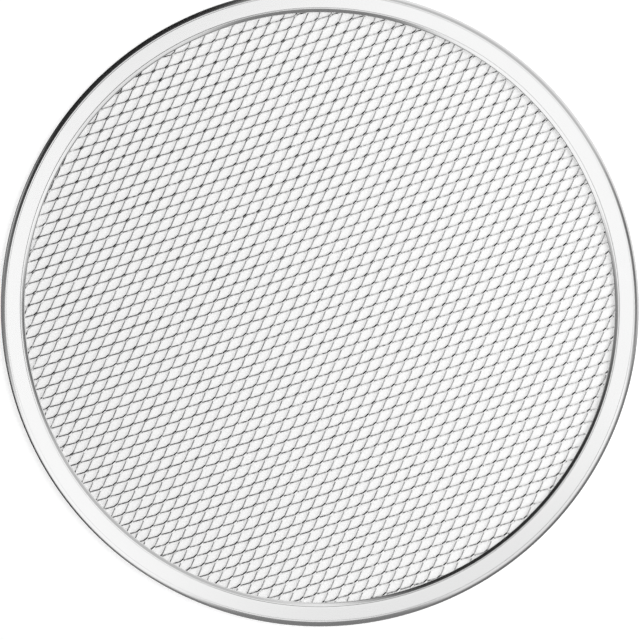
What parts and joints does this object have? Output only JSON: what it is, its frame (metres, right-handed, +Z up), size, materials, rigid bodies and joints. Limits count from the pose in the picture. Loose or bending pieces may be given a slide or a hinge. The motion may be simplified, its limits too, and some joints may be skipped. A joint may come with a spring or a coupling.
{
  "type": "pizza screen",
  "caption": "Round open-mesh baking screen: a disc of raised expanded aluminium mesh held in a flat folded hoop with a rolled outer edge.",
  "frame": {"origin": "centre of the disc, on the surface that the screen lies on", "axes": "+Z up, out of the mesh; the long way of the mesh runs 40.8 degrees from +X towards +Y"},
  "size_m": [0.305, 0.305, 0.0036],
  "materials": {
    "hoop": "satin, spun round the band",
    "mesh": "bright rolled sheet with duller sheared edges"
  },
  "bodies": {
    "root": {"rim": "hoop", "mesh": "mesh"}
  },
  "joints": []
}
